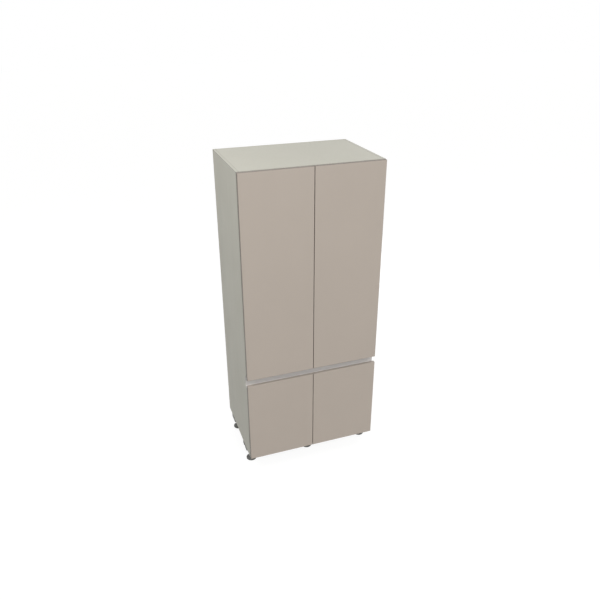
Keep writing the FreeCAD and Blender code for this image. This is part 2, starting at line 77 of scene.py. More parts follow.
def srgb(red, green, blue):
    """A colour given as the eye sees it, 0 to 255, as the numbers a shader wants."""
    def linear(part):
        share = part / 255
        return share / 12.92 if share <= 0.04045 else ((share + 0.055) / 1.055) ** 2.4
    return (linear(red), linear(green), linear(blue), 1.0)


def colour(name, text, red, green, blue):
    """A colour property with its default given as the eye sees it."""
    return bpy.props.FloatVectorProperty(
        name=name, description=text, subtype="COLOR", size=4, min=0, max=1, default=srgb(red, green, blue),
    )


def length(name, text, metres):
    """A length property in metres."""
    return bpy.props.FloatProperty(
        name=name, description=text, subtype="DISTANCE", unit="LENGTH", min=0, precision=4, default=metres,
    )


class HousingColours(bpy.types.PropertyGroup):
    carcass: colour("Carcass", "Melamine face of the carcass boards", 195, 193, 181)
    # This colour is partly the glue line at the board joints and partly painted shade along the arrises.
    carcass_joint_and_shade: colour("Joint", "Glue line and shaded arris of the carcass boards", 118, 116, 108)
    back: colour("Back", "Face of the back board", 200, 198, 187)
    # The pin-hole colour is painted shade for the insides of the bores, which are not modelled.
    pin_hole_shade: colour("Pin hole", "Inside of the shelf-pin bores", 58, 52, 45)
    door: colour("Door", "Matt lacquer on the faces of the doors", 187, 176, 165)
    door_edge: colour("Door edge", "Top and bottom edges of the short doors", 178, 167, 157)
    # The tall doors' top and bottom edges and the upright edges of all doors are painted shade, darker than the
    # lacquer for the shadow in the gaps round the doors.
    tall_door_edge_shade: colour("Tall door edge", "Top and bottom edges of the tall doors", 132, 123, 115)
    door_upright_edge_shade: colour("Door side edge", "Upright edges of the doors", 128, 119, 111)
    channel: colour("Channel", "Anodised aluminium of the finger channel", 212, 209, 206)
    steel: colour("Hinge steel", "Nickel plate of the hinges", 205, 205, 207)
    zinc: colour("Zinc", "Zinc plate of clips and screws", 190, 193, 198)
    leg: colour("Leg", "Moulded plastic of the legs", 99, 99, 95)
    support: colour("Shelf support", "Moulded plastic of the shelf supports", 225, 224, 219)
    bumper: colour("Bumper", "Soft pads behind the doors", 205, 207, 206)
    floor: colour("Floor", "The plain pale floor", 112, 112, 111)


class HousingSizes(bpy.types.PropertyGroup):
    joint_and_shade_line: length("Joint line", "Width of the shaded line along the boards' arrises", 0.0016)
    screw_head: length("Screw head", "Width of a countersunk screw's head", 0.007)
    foot_rim: length("Foot rim", "Height of the foot's upright rim", 0.0065)
    socket_wall_rib: length("Socket rib", "How far the socket's ribs stand out", 0.0016)


class HousingStage(bpy.types.PropertyGroup):
    sky: bpy.props.FloatProperty(name="Sky", description="Strength of the even light", default=0.5, min=0)
    key: bpy.props.FloatProperty(name="Key", description="Power of the lamp above the front", default=870, min=0)
    fill: bpy.props.FloatProperty(name="Fill", description="Power of the lamp at the left", default=32, min=0)
    behind: bpy.props.FloatProperty(name="Behind", description="Power of the lamp behind the right", default=48, min=0)
    glow: bpy.props.FloatProperty(name="Glow", description="How far the floor is lifted to white", default=0.89, min=0)


# shader building

class Shader:
    """A node tree with short calls to add and join its nodes."""

    def __init__(self, tree):
        self.tree = tree

    def add(self, kind, inputs=None, **settings):
        made = self.tree.nodes.new(kind)
        for name, setting in settings.items():
            setattr(made, name, setting)
        for socket, source in (inputs or {}).items():
            self.join(source, made.inputs[socket])
        return made

    def join(self, source, socket):
        if isinstance(source, bpy.types.NodeSocket):
            self.tree.links.new(source, socket)
        else:
            socket.default_value = source

    def sums(self, operation, *sources, clamp=False):
        made = self.add("ShaderNodeMath", dict(enumerate(sources)), operation=operation, use_clamp=clamp)
        return made.outputs[0]

    def weigh(self, one, other, share):
        """Two values added, the first by share and the second by the rest."""
        return self.sums("ADD", self.sums("MULTIPLY", one, share), self.sums("MULTIPLY", other, 1 - share))

    def blend(self, share, one, other):
        """The colour between two, by share."""
        made = self.add("ShaderNodeMix", data_type="RGBA")
        for socket, source in ((0, share), (6, one), (7, other)):
            self.join(source, made.inputs[socket])
        return made.outputs[2]

    def rescale(self, source, low, high, to_low=0.0, to_high=1.0):
        made = self.add("ShaderNodeMapRange", {0: source, 1: low, 2: high, 3: to_low, 4: to_high})
        return made.outputs[0]

    def noise(self, vector, scale, detail=4.0, roughness=0.5):
        made = self.add(
            "ShaderNodeTexNoise", {"Vector": vector, "Scale": scale, "Detail": detail, "Roughness": roughness},
        )
        return made.outputs[0]

    def stretched(self, vector, scale):
        made = self.add("ShaderNodeMapping", {"Vector": vector, "Scale": scale})
        return made.outputs[0]


def effect(name, inputs, outputs, build):
    """A node group that several materials share, built once."""
    if name in bpy.data.node_groups:
        return bpy.data.node_groups[name]
    group = bpy.data.node_groups.new(name, "ShaderNodeTree")
    for label, kind, default in inputs:
        socket = group.interface.new_socket(name=label, in_out="INPUT", socket_type=kind)
        if default is not None:
            socket.default_value = default
    for label, kind in outputs:
        group.interface.new_socket(name=label, in_out="OUTPUT", socket_type=kind)
    shader = Shader(group)
    given = shader.add("NodeGroupInput").outputs
    result = shader.add("NodeGroupOutput").inputs
    for label, source in build(shader, given).items():
        shader.join(source, result[label])
    return group


VECTOR = "NodeSocketVector"
NUMBER = "NodeSocketFloat"


def upright_grain():
    """Faint upright streaks of a printed board, with a soft cloudiness."""
    def build(shader, given):
        long_streak = shader.noise(shader.stretched(given["Vector"], (70.0, 70.0, 1.6)), 1.0, 5.0, 0.55)
        fine_streak = shader.noise(shader.stretched(given["Vector"], (420.0, 420.0, 14.0)), 1.0, 3.0, 0.6)
        cloud = shader.noise(given["Vector"], 3.2, 2.0)
        streaks = shader.weigh(long_streak, fine_streak, 0.6)
        tone = shader.weigh(streaks, cloud, 0.75)
        pore = shader.noise(given["Vector"], 900.0, 2.0)
        return {"Tone": tone, "Height": shader.weigh(fine_streak, pore, 0.5)}
    return effect("upright grain", [("Vector", VECTOR, None)], [("Tone", NUMBER), ("Height", NUMBER)], build)


def arris_line():
    """A line along the arrises of a board, from the distance to the nearest edge of its box."""
    def build(shader, given):
        parts = []
        for axis in range(3):
            along = [shader.add("ShaderNodeSeparateXYZ", {0: given[name]}).outputs[axis]
                     for name in ("Vector", "Low", "High")]
            near = shader.sums("ABSOLUTE", shader.sums("SUBTRACT", along[0], along[1]))
            far = shader.sums("ABSOLUTE", shader.sums("SUBTRACT", along[2], along[0]))
            parts.append(shader.sums("MINIMUM", near, far))
        one, two, three = parts
        least = shader.sums("MINIMUM", one, two)
        most = shader.sums("MAXIMUM", one, two)
        middle = shader.sums("MAXIMUM", least, shader.sums("MINIMUM", most, three))
        return {"Line": shader.rescale(middle, 0.0, given["Width"], 1.0, 0.0)}
    inputs = [("Vector", VECTOR, None), ("Low", VECTOR, None), ("High", VECTOR, None), ("Width", NUMBER, 0.002)]
    return effect("arris line", inputs, [("Line", NUMBER)], build)


def handling():
    """Patches where a surface is a little smoother or duller from cleaning and touch."""
    def build(shader, given):
        broad = shader.noise(given["Vector"], 2.3, 3.0, 0.6)
        smear = shader.noise(shader.stretched(given["Vector"], (11.0, 11.0, 4.0)), 1.0, 4.0, 0.65)
        return {"Patches": shader.weigh(broad, smear, 0.6)}
    return effect("handling", [("Vector", VECTOR, None)], [("Patches", NUMBER)], build)


def moulded_skin():
    """The fine spark-eroded skin of a moulding."""
    def build(shader, given):
        fine = shader.noise(given["Vector"], 1500.0, 2.0, 0.7)
        coarse = shader.noise(given["Vector"], 60.0, 3.0, 0.5)
        return {"Skin": fine, "Tone": coarse}
    return effect("moulded skin", [("Vector", VECTOR, None)], [("Skin", NUMBER), ("Tone", NUMBER)], build)


def brushing():
    """Fine lines drawn along X by a brush."""
    def build(shader, given):
        lines = shader.noise(shader.stretched(given["Vector"], (6.0, 1400.0, 1400.0)), 1.0, 3.0, 0.7)
        bands = shader.noise(shader.stretched(given["Vector"], (1.5, 160.0, 160.0)), 1.0, 2.0, 0.5)
        return {"Lines": shader.weigh(lines, bands, 0.7)}
    return effect("brushing", [("Vector", VECTOR, None)], [("Lines", NUMBER)], build)


def new_material(name):
    """An empty material with its Principled shader, and where on the object each point is."""
    made = bpy.data.materials.new(name)
    made.use_nodes = True
    shader = Shader(made.node_tree)
    surface = made.node_tree.nodes["Principled BSDF"]
    place = shader.add("ShaderNodeTexCoord")
    return made, shader, surface, place.outputs["Object"]


def use(shader, group, **inputs):
    """A shared effect placed in a material, with its own values."""
    made = shader.add("ShaderNodeGroup")
    made.node_tree = group
    for label, source in inputs.items():
        shader.join(source, made.inputs[label])
    return made.outputs


def dent(shader, surface, height, strength, distance):
    """Raises the surface by a height map."""
    bump = shader.add("ShaderNodeBump", {"Height": height, "Strength": strength, "Distance": distance})
    shader.join(bump.outputs[0], surface.inputs["Normal"])


def shaded(tint, share):
    """A colour made darker or lighter by a share."""
    return tuple(min(1.0, part * share) for part in tint[:3]) + (1.0,)


# shelf-pin bores of the side boards: spacing, radius, how deep the bored face lies and the plain board at the ends
PIN_PITCH = 0.032
PIN_RADIUS = 0.0025
PIN_FACE = 0.015
PIN_FREE = 0.12


def pin_rows():
    """Two upright rows of shelf-pin bores on the faces that look into the housing."""
    def build(shader, given):
        x, y, z = shader.add("ShaderNodeSeparateXYZ", {0: given["Vector"]}).outputs
        near = shader.sums("ABSOLUTE", shader.sums("SUBTRACT", y, given["Front row"]))
        far = shader.sums("ABSOLUTE", shader.sums("SUBTRACT", y, given["Back row"]))
        across = shader.sums("MINIMUM", near, far)
        step = shader.sums("DIVIDE", z, given["Pitch"])
        upward = shader.sums("SUBTRACT", shader.sums("FRACT", step), 0.5)
        along = shader.sums("MULTIPLY", upward, given["Pitch"])
        squares = shader.sums("ADD", shader.sums("MULTIPLY", across, across), shader.sums("MULTIPLY", along, along))
        away = shader.sums("SQRT", squares)
        bore = shader.rescale(away, given["Radius"], shader.sums("MULTIPLY", given["Radius"], 1.12), 1.0, 0.0)
        inside = shader.sums("LESS_THAN", shader.sums("ABSOLUTE", x), given["Face"])
        low = shader.sums("GREATER_THAN", z, given["Low"])
        high = shader.sums("LESS_THAN", z, given["High"])
        drilled = shader.sums("MULTIPLY", bore, inside)
        return {"Bore": shader.sums("MULTIPLY", drilled, shader.sums("MULTIPLY", low, high))}
    names = ("Front row", "Back row", "Pitch", "Radius", "Face", "Low", "High")
    inputs = [("Vector", VECTOR, None)] + [(name, NUMBER, 0.0) for name in names]
    return effect("pin rows", inputs, [("Bore", NUMBER)], build)


def board_material(node, face, joint, line_width):
    """Matt melamine with faint upright grain and a darker line along the board's own arrises, partly the glue line of
    the joints and partly painted shade.
    """
    low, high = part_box(node)
    made, shader, surface, place = new_material(f"melamine_{node}")
    grain = use(shader, upright_grain(), Vector=place)
    line = use(shader, arris_line(), Vector=place, Low=tuple(low), High=tuple(high), Width=line_width)
    patches = use(shader, handling(), Vector=place)["Patches"]
    tone = shader.rescale(grain["Tone"], 0.32, 0.68)
    board = shader.blend(tone, shaded(face, 0.955), shaded(face, 1.035))
    # Painted shade along every arris of the board, mixed with the real glue line at the joints.
    edged = shader.blend(line["Line"], board, joint)
    height = grain["Height"]
    if node.startswith("side_panel"):
        bores = bored(shader, place, low, high)
        # Painted shade: dark discs stand in for the shade inside the unmodelled shelf-pin bores.
        edged = shader.blend(bores, edged, tuple(bpy.context.scene.housing_colours.pin_hole_shade))
        height = shader.sums("SUBTRACT", height, shader.sums("MULTIPLY", bores, 6.0))
    shader.join(edged, surface.inputs["Base Color"])
    shader.join(shader.rescale(patches, 0.3, 0.7, 0.5, 0.62), surface.inputs["Roughness"])
    surface.inputs["Specular IOR Level"].default_value = 0.35
    dent(shader, surface, height, 0.12, 0.0004)
    return made


def bored(shader, place, low, high):
    """The mask of a side board's pin bores, in line with its shelf supports."""
    rows = sorted({round((box[0].y + box[1].y) / 2, 4) for box in copies_of("shelf_supports", 0.003)})
    return use(shader, pin_rows(), **{
        "Vector": place, "Front row": rows[0], "Back row": rows[-1], "Pitch": PIN_PITCH, "Radius": PIN_RADIUS,
        "Face": max(abs(low.x), abs(high.x)) - PIN_FACE, "Low": low.z + PIN_FREE, "High": high.z - PIN_FREE,
    })["Bore"]


def door_material(node, face, edge, upright_shade):
    """Smooth matt lacquer with a very soft orange peel. The edges carry a darker band: the short doors' top and bottom
    edges keep their own slightly darker tone, and the tall doors' top and bottom edges and all upright edges are
    painted shade for the shadow in the gaps.
    """
    made, shader, surface, place = new_material(f"lacquer_{node}")
    turned = shader.add("ShaderNodeTexCoord").outputs["Normal"]
    facing = shader.add("ShaderNodeSeparateXYZ", {0: turned}).outputs
    on_edge = shader.rescale(shader.sums("ABSOLUTE", facing[1]), 0.75, 0.95, 1.0, 0.0)
    sideways = shader.rescale(shader.sums("ABSOLUTE", facing[0]), 0.3, 0.6)
    # Painted shade: the band on the tall doors' top and bottom edges and on all upright edges stands in for the shadow
    # in the door gaps; the short doors' top and bottom edges keep their own tone.
    band = shader.blend(sideways, edge, upright_shade)
    cloud = shader.noise(place, 2.1, 3.0, 0.55)
    patches = use(shader, handling(), Vector=place)["Patches"]
    tone = shader.rescale(shader.weigh(cloud, patches, 0.5), 0.35, 0.65)
    lacquer = shader.blend(tone, shaded(face, 0.98), shaded(face, 1.02))
    shader.join(shader.blend(on_edge, lacquer, band), surface.inputs["Base Color"])
    shader.join(shader.rescale(patches, 0.3, 0.7, 0.42, 0.55), surface.inputs["Roughness"])
    surface.inputs["Specular IOR Level"].default_value = 0.4
    peel = shader.noise(place, 260.0, 2.0, 0.4)
    dent(shader, surface, peel, 0.05, 0.0003)
    return made


def aluminium_material(tint):
    """Anodised aluminium, brushed along the channel."""
    made, shader, surface, place = new_material("brushed_aluminium")
    lines = use(shader, brushing(), Vector=place)["Lines"]
    tone = shader.rescale(lines, 0.3, 0.7)
    shader.join(shader.blend(tone, shaded(tint, 0.93), shaded(tint, 1.04)), surface.inputs["Base Color"])
    shader.join(shader.rescale(lines, 0.3, 0.7, 0.4, 0.52), surface.inputs["Roughness"])
    surface.inputs["Metallic"].default_value = 0.2
    surface.inputs["Anisotropic"].default_value = 0.4
    dent(shader, surface, lines, 0.1, 0.0002)
    return made


def plated_material(name, tint, smooth):
    """Plated sheet steel with soft clouding and faint rolling marks."""
    made, shader, surface, place = new_material(name)
    cloud = shader.noise(place, 85.0, 4.0, 0.6)
    marks = shader.noise(shader.stretched(place, (300.0, 300.0, 1800.0)), 1.0, 2.0, 0.6)
    tone = shader.rescale(shader.weigh(cloud, marks, 0.7), 0.35, 0.65)
    shader.join(shader.blend(tone, shaded(tint, 0.8), shaded(tint, 1.06)), surface.inputs["Base Color"])
    shader.join(shader.rescale(cloud, 0.3, 0.7, smooth, smooth + 0.14), surface.inputs["Roughness"])
    surface.inputs["Metallic"].default_value = 1.0
    dent(shader, surface, marks, 0.08, 0.0001)
    return made


def moulded_material(name, tint, smooth):
    """Moulded plastic with a fine skin and slight unevenness of tone."""
    made, shader, surface, place = new_material(name)
    skin = use(shader, moulded_skin(), Vector=place)
    tone = shader.rescale(skin["Tone"], 0.35, 0.65)
    shader.join(shader.blend(tone, shaded(tint, 0.9), shaded(tint, 1.1)), surface.inputs["Base Color"])
    shader.join(shader.rescale(skin["Tone"], 0.3, 0.7, smooth, smooth + 0.12), surface.inputs["Roughness"])
    dent(shader, surface, skin["Skin"], 0.18, 0.0003)
    return made


def palette():
    """The finish of each kind of small part, made once."""
    tints = bpy.context.scene.housing_colours
    makers = {
        "channel_aluminium": lambda: aluminium_material(tuple(tints.channel)),
        "hinge_steel": lambda: plated_material("nickel_plate", tuple(tints.steel), 0.22),
        "clip_steel": lambda: plated_material("zinc_plate", tuple(tints.zinc), 0.34),
        "support_plastic": lambda: moulded_material("pale_moulding", tuple(tints.support), 0.42),
        "leg_plastic": lambda: moulded_material("dark_moulding", tuple(tints.leg), 0.5),
        "bumper_rubber": lambda: moulded_material("soft_pad", tuple(tints.bumper), 0.3),
    }
    return makers


def finish(slot):
    """The material for a slot of the record, from the palette."""
    if slot not in finish.made:
        finish.made[slot] = palette()[slot]()
    return finish.made[slot]


finish.made = {}


# modelling by hand

def clear_choice():
    """Nothing selected, nothing in edit mode."""
    if bpy.context.object and bpy.context.object.mode != "OBJECT":
        bpy.ops.object.mode_set(mode="OBJECT")
    bpy.ops.object.select_all(action="DESELECT")


def only(piece):
    """The piece alone is selected and active."""
    clear_choice()
    piece.select_set(True)
    bpy.context.view_layer.objects.active = piece


def choose(piece, kind, test):
    """Selects the piece's faces, edges or corners that the test picks, and stays in edit mode."""
    bpy.ops.object.mode_set(mode="EDIT")
    bpy.ops.mesh.select_mode(type=kind)
    bpy.ops.mesh.select_all(action="DESELECT")
    bpy.ops.object.mode_set(mode="OBJECT")
    parts = {"FACE": piece.data.polygons, "EDGE": piece.data.edges, "VERT": piece.data.vertices}[kind]
    for part in parts:
        part.select = test(part)
    bpy.ops.object.mode_set(mode="EDIT")


def smooth(piece, degrees=35):
    """Rounded faces shaded smooth, with sharp arrises kept."""
    only(piece)
    bpy.ops.object.shade_smooth_by_angle(angle=math.radians(degrees))


def outward(piece):
    """Doubles merged and all faces turned outwards."""
    only(piece)
    bpy.ops.object.mode_set(mode="EDIT")
    bpy.ops.mesh.select_all(action="SELECT")
    bpy.ops.mesh.remove_doubles(threshold=1e-6)
    bpy.ops.mesh.normals_make_consistent(inside=False)
    bpy.ops.object.mode_set(mode="OBJECT")


def turned(name, steps, sides=48):
    """A turned piece standing on the origin: a disc drawn up through (radius, height) steps."""
    clear_choice()
    (radius, height), *rest = steps
    bpy.ops.mesh.primitive_circle_add(vertices=sides, radius=radius, fill_type="NGON", location=(0, 0, height))
    piece = bpy.context.object
    piece.name = name
    bpy.ops.object.transform_apply(location=True, rotation=True, scale=True)
    bpy.ops.object.mode_set(mode="EDIT")
    bpy.ops.mesh.select_mode(type="FACE")
    bpy.ops.mesh.select_all(action="SELECT")
    for next_radius, next_height in rest:
        bpy.ops.mesh.extrude_region_move(TRANSFORM_OT_translate={"value": (0, 0, next_height - height)})
        share = next_radius / radius
        bpy.ops.transform.resize(value=(share, share, 1), center_override=(0, 0, next_height))
        radius, height = next_radius, next_height
    bpy.ops.object.mode_set(mode="OBJECT")
    outward(piece)
    return piece


def slab(name, low, high, radius=0.0):
    """A block between two corners, with its upright arrises rounded."""
    clear_choice()
    low, high = Vector(low), Vector(high)
    bpy.ops.mesh.primitive_cube_add(size=1, location=(low + high) / 2)
    piece = bpy.context.object
    piece.name = name
    bpy.ops.transform.resize(value=high - low)
    bpy.ops.object.transform_apply(location=True, rotation=True, scale=True)
    if radius:
        choose(piece, "EDGE", lambda edge: runs_along(piece, edge, 2))
        bpy.ops.mesh.bevel(offset=radius, segments=4, affect="EDGES")
        bpy.ops.object.mode_set(mode="OBJECT")
    return piece


def ends_of(piece, edge):
    """The places of an edge's two ends."""
    return [piece.data.vertices[number].co for number in edge.vertices]


def runs_along(piece, edge, axis):
    """Whether an edge runs along an axis."""
    one, other = ends_of(piece, edge)
    return abs((other - one).normalized()[axis]) > 0.9


def outer_edge(piece, edge, reach):
    """Whether an edge stands clear of the face at x = 0."""
    return all(end.x > reach for end in ends_of(piece, edge))


def ring(name, outside, inside, height, sides=24):
    """A flat ring standing on the origin."""
    clear_choice()
    bpy.ops.mesh.primitive_circle_add(vertices=sides, radius=outside)
    piece = bpy.context.object
    piece.name = name
    bpy.ops.object.mode_set(mode="EDIT")
    bpy.ops.mesh.primitive_circle_add(vertices=sides, radius=inside)
    bpy.ops.mesh.select_all(action="SELECT")
    bpy.ops.mesh.bridge_edge_loops()
    bpy.ops.mesh.select_all(action="SELECT")
    bpy.ops.mesh.extrude_region_move(TRANSFORM_OT_translate={"value": (0, 0, height)})
    bpy.ops.object.mode_set(mode="OBJECT")
    outward(piece)
    return piece


def cross_screw(name, radius, height):
    """A screw's low round head on the origin, with a cross recess."""
    profile = [(1, 0), (1, 0.3), (0.9, 0.75), (0.7, 1)]
    piece = turned(name, [(radius * out, height * up) for out, up in profile], 16)
    choose(piece, "FACE", lambda face: face.normal.z > 0.9)
    bpy.ops.mesh.inset(thickness=0.1 * radius, depth=0)
    choose(piece, "VERT", lambda vert: between_arms(vert.co, radius, height))
    bpy.ops.transform.resize(value=(0.4, 0.4, 1), center_override=(0, 0, height))
    choose(piece, "FACE", lambda face: face.normal.z > 0.9 and face.center.xy.length < 0.1 * radius)
    bpy.ops.mesh.extrude_region_move(TRANSFORM_OT_translate={"value": (0, 0, -0.6 * height)})
    bpy.ops.transform.resize(value=(0.8, 0.8, 1), center_override=(0, 0, 0.4 * height))
    bpy.ops.object.mode_set(mode="OBJECT")
    smooth(piece, 30)
    return piece


def between_arms(place, radius, height):
    """Whether a corner of the screw's inner top face lies between the arms of its cross."""
    inside = place.z > 0.99 * height and place.xy.length < 0.65 * radius
    return inside and 30 < math.degrees(math.atan2(place.y, place.x)) % 90 < 80


def soften(piece, width, segments=2, degrees=40):
    """Rounds the piece's sharp arrises."""
    only(piece)
    bevel = piece.modifiers.new("softened arrises", "BEVEL")
    bevel.width = width
    bevel.segments = segments
    bevel.limit_method = "ANGLE"
    bevel.angle_limit = math.radians(degrees)
    bpy.ops.object.modifier_apply(modifier=bevel.name)


def join(name, pieces):
    """Several meshes as one piece."""
    clear_choice()
    for piece in pieces:
        piece.select_set(True)
    bpy.context.view_layer.objects.active = pieces[0]
    if len(pieces) > 1:
        bpy.ops.object.join()
    joined = bpy.context.object
    joined.name = name
    joined.data.name = name
    return joined


def stand(master, name, place, turn=None):
    """A copy of a piece with its own mesh, moved to its place and turned."""
    copied = master.copy()
    copied.data = master.data.copy()
    copied.name = name
    bpy.context.scene.collection.objects.link(copied)
    matrix = Matrix.Translation(Vector(place))
    if turn is not None:
        matrix = matrix @ turn
    copied.data.transform(matrix)
    if matrix.is_negative:
        copied.data.flip_normals()
    copied.data.update()
    return copied


def drop(*pieces):
    """Removes masters that have been copied."""
    for piece in pieces:
        bpy.data.objects.remove(piece)


def fit_out(piece, body, slot, material=None, replaces=()):
    """Gives a finished piece its material and its body, and hides the CAD nodes it stands for."""
    piece.data.materials.clear()
    piece.data.materials.append(material or finish(slot))
    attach(piece, body)
    if replaces:
        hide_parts(*replaces)
    return piece


def body_of(node):
    """The CAD body that a node rides on."""
    return next(body for body, nodes in frame["record"]["behaviour"]["bodies"].items() if node in nodes)


def copies_of(node, gap):
    """Boxes of a node's loose copies, which stand at least gap apart along some axis."""
    found = []
    waiting = [[v.co.copy() for v in frame["nodes"][node].data.vertices]]
    while waiting:
        points = waiting.pop()
        halves = None
        for axis in range(3):
            points.sort(key=lambda point: point[axis])
            wide = [n for n in range(1, len(points)) if points[n][axis] - points[n - 1][axis] > gap]
            if wide:
                halves = (points[:wide[0]], points[wide[0]:])
                break
        if halves:
            waiting.extend(halves)
        else:
            low = Vector([min(point[axis] for point in points) for axis in range(3)])
            high = Vector([max(point[axis] for point in points) for axis in range(3)])
            found.append((low, high))
    return sorted(found, key=lambda box: tuple(round(part, 4) for part in box[0]))


FOOT_NODES = sorted(node for node in frame["nodes"] if node.startswith("foot_"))
FOOT_STEM = 0.0166
FOOT_NECK = 0.0154
FOOT_THREAD_START = 0.0238
FOOT_THREAD_PITCH = 0.0045
MIRRORED = Matrix.Diagonal((-1, 1, 1, 1))
FACING_FRONT = Matrix.Rotation(math.pi / 2, 4, "X")
BACKWARD = Matrix.Rotation(-math.pi / 2, 4, "X")

# leg sockets: lengths along the depth are from each foot's middle
SOCKET_WIDTH = 0.070
SOCKET_FLANGE = 0.006
SOCKET_BOSS = 0.026
SOCKET_BOSS_WIDTH = 0.016
SOCKET_RADIUS = 0.023
SOCKET_BORE = 0.017
SOCKET_DEPTH = 0.042
SOCKET_RIBS = 8
SOCKET_SCREWS = (-0.029, 0.060)
SOCKET_PLATES = {"front": (-0.035, 0.090), "back": (-0.080, 0.044)}
SOCKET_BOSSES = {
    "front": ((-0.006, 0.041), (0.053, 0.090)),
    "back": ((-0.044, -0.007), (-0.001, 0.044)),
}

# hinge studs beside the inner face of the side board and the carcass front, as in the CAD
ARM_LONG = (0.018, 0.015)
ARM_SHORT = (0.0085, -0.0011)
CUP_LONG = (-0.0059, -0.0035)
CUP_SHORT = (-0.0052, -0.0067)
LONG_BOW = ((-0.0008, -0.0041), (0.0054, -0.0026), (0.0122, 0.0042))
SHORT_BOW = ((-0.0007, -0.0128), (0.0057, -0.0126))
HINGE_NOSE = 0.003
HINGE_PLATE = 0.0032
HINGE_GAP = 0.0002
HINGE_STUD = 0.00116
LINK_EYE = 0.00205
LINK_HALF_WIDTH = 0.00098
ARM_PLAY = 0.0002
ARM_SLOPE = math.atan2(9, 28)
LONG_CUP_PLAY = 0.0002
SHORT_CUP_PLAY = 0.00045

# each lamp's name, place, target and size, and the camera's place, its turns down, right and sideways, and its lens
LAMPS = (
    ("key", (0.3, -10.4, 7.7), (0.0, 0.0, 1.3), 7.0),
    ("fill", (-2.6, -0.5, 3.6), (-0.4, 0.0, 1.4), 1.6),
    ("behind", (2.9, 2.9, 1.6), (0.45, 0.31, 1.1), 2.0),
)
CAMERA_PLACE = (-1.1799, -3.4165, 2.8978)
CAMERA_TURNS = (26.487, 19.31, 0.186)
CAMERA_LENS = 35.815


def hinge_sets():
    """Each door's level and side, with the heights of its hinges."""
    level_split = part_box("finger_channel")[0].z
    for side in ("left", "right"):
        heights = [(low.z + high.z) / 2 for low, high in copies_of(f"{side}_mounting_plates", 0.05)]
        yield "lower", side, [height for height in heights if height < level_split]
        yield "upper", side, [height for height in heights if height > level_split]


def hang(master, side, height, spot=(0, 0, 0), turn=None):
    """A copy of a hinge piece at a hinge's height, mirrored on the right."""
    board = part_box("side_panel_left")
    local = Matrix.Translation(Vector((board[1].x, board[0].y, height)) + Vector(spot))
    if turn is not None:
        local = local @ turn
    return stand(master, "hinge_piece", (0, 0, 0), local if side == "left" else MIRRORED @ local)


# one operator for each kind of piece

class HOUSING_OT_boards(bpy.types.Operator):
    """Gives the carcass boards, the back and the doors their faces and edges"""
    bl_idname = "housing.boards"
    bl_label = "Boards and doors"

    def execute(self, context):
        tints = context.scene.housing_colours
        width = context.scene.housing_sizes.joint_and_shade_line
        slots = {part["node"]: part["material_slot"] for part in frame["record"]["subparts"]}
        for node, slot in slots.items():
            if slot == "carcass_board":
                made = board_material(node, tuple(tints.carcass), tuple(tints.carcass_joint_and_shade), width)
            elif slot == "back_board":
                made = board_material(node, tuple(tints.back), tuple(tints.carcass_joint_and_shade), width)
            elif slot == "door_lacquer":
                # Painted shade on the tall doors' top and bottom edges; the short doors' edges keep their own tone.
                edge = tints.tall_door_edge_shade if "upper" in node else tints.door_edge
                made = door_material(node, *(tuple(tint) for tint in (tints.door, edge, tints.door_upright_edge_shade)))
            else:
                made = finish(slot)
            materials = frame["nodes"][node].data.materials
            for number in range(len(materials)):
                materials[number] = made
        return {"FINISHED"}


class HOUSING_OT_feet(bpy.types.Operator):
    """Models one levelling foot and stands a copy at each leg"""
    bl_idname = "housing.feet"
    bl_label = "Levelling feet"

    def execute(self, context):
        low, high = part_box(FOOT_NODES[0])
        rim = context.scene.housing_sizes.foot_rim
        width = (high.x - low.x) / 2
        top = high.z
        steps = [
            (width - 0.0025, 0), (width - 0.0006, 0.0012), (width, 0.0024), (width, rim),
            (width - 0.0012, rim + 0.0026), (width - 0.0042, rim + 0.0046), (width - 0.009, rim + 0.006),
            (0.0232, 0.0148), (0.0205, 0.0165), (0.0195, 0.0185), (0.0195, 0.0225), (0.0186, 0.0235),
            (FOOT_NECK, FOOT_THREAD_START),
        ]
        height, pitch = FOOT_THREAD_START, FOOT_THREAD_PITCH
        while height + pitch < top:
            steps += [(FOOT_NECK, height + 0.3 * pitch), (FOOT_STEM, height + 0.5 * pitch),
                      (FOOT_STEM, height + 0.8 * pitch), (FOOT_NECK, height + pitch)]
            height += pitch
        steps.append((FOOT_NECK - 0.0004, top))
        master = turned("foot_master", steps, 64)
        choose(master, "FACE", lambda face: face.normal.z < -0.9)
        bpy.ops.mesh.inset(thickness=0.004, depth=0)
        bpy.ops.mesh.inset(thickness=0.0012, depth=-0.0015)
        bpy.ops.object.mode_set(mode="OBJECT")
        smooth(master, 30)
        for node in FOOT_NODES:
            low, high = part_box(node)
            middle = (low + high) / 2
            piece = stand(master, f"{node}_moulding", (middle.x, middle.y, 0))
            fit_out(piece, body_of(node), "leg_plastic", replaces=[node])
        drop(master)
        return {"FINISHED"}


